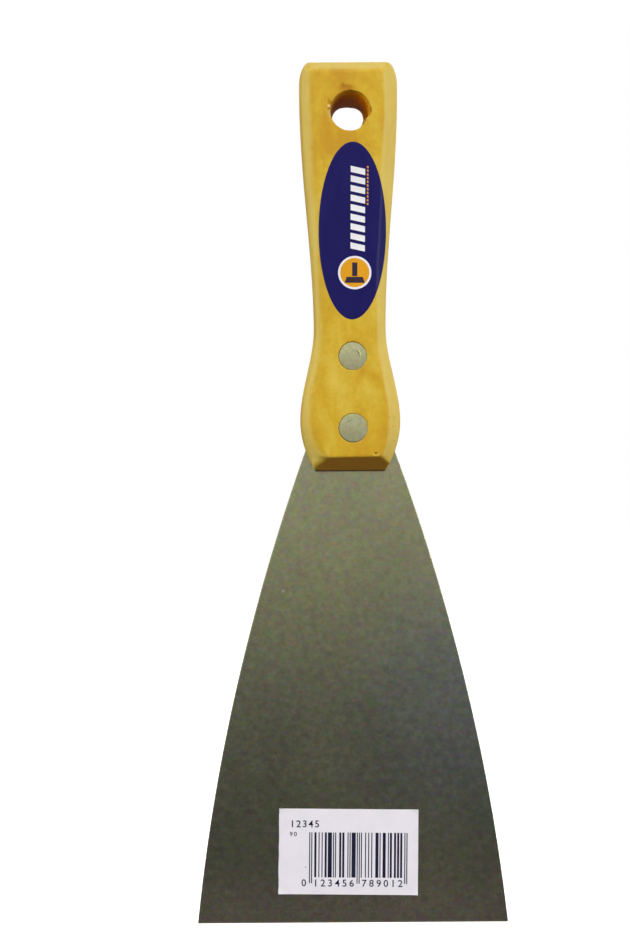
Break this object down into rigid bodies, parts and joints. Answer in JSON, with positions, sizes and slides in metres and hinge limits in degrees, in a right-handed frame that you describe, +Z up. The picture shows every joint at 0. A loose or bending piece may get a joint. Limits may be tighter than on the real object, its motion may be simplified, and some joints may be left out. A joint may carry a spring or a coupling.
{
  "type": "taping knife",
  "caption": "Drywall taping knife: a wide, thin steel blade with curved sides, riveted into a shaped wooden handle that has a hang hole, an oval label and a bar-code sticker.",
  "frame": {"origin": "on the axis of the hang hole, in the middle plane of the blade, so halfway through the handle", "axes": "+Z up along the handle from the working edge to the butt, +X to the right across the blade, the labelled front faces -Y"},
  "size_m": [0.09, 0.0201, 0.248],
  "materials": {
    "varnished_wood": "clear varnish over straight-grained pale wood",
    "spring_steel": "satin rolled steel, ground along the working edge",
    "rivet_metal": "dull, slightly tarnished",
    "label_film": "dark blue printed film",
    "sticker_paper": "white coated paper printed in dark ink"
  },
  "bodies": {
    "root": {"handle": "varnished_wood", "blade": "spring_steel", "rivet_post_lower": "rivet_metal", "rivet_post_upper": "rivet_metal", "rivet_sleeve_lower": "rivet_metal", "rivet_sleeve_upper": "rivet_metal", "oval_label": "label_film", "barcode_sticker": "sticker_paper"}
  },
  "joints": []
}
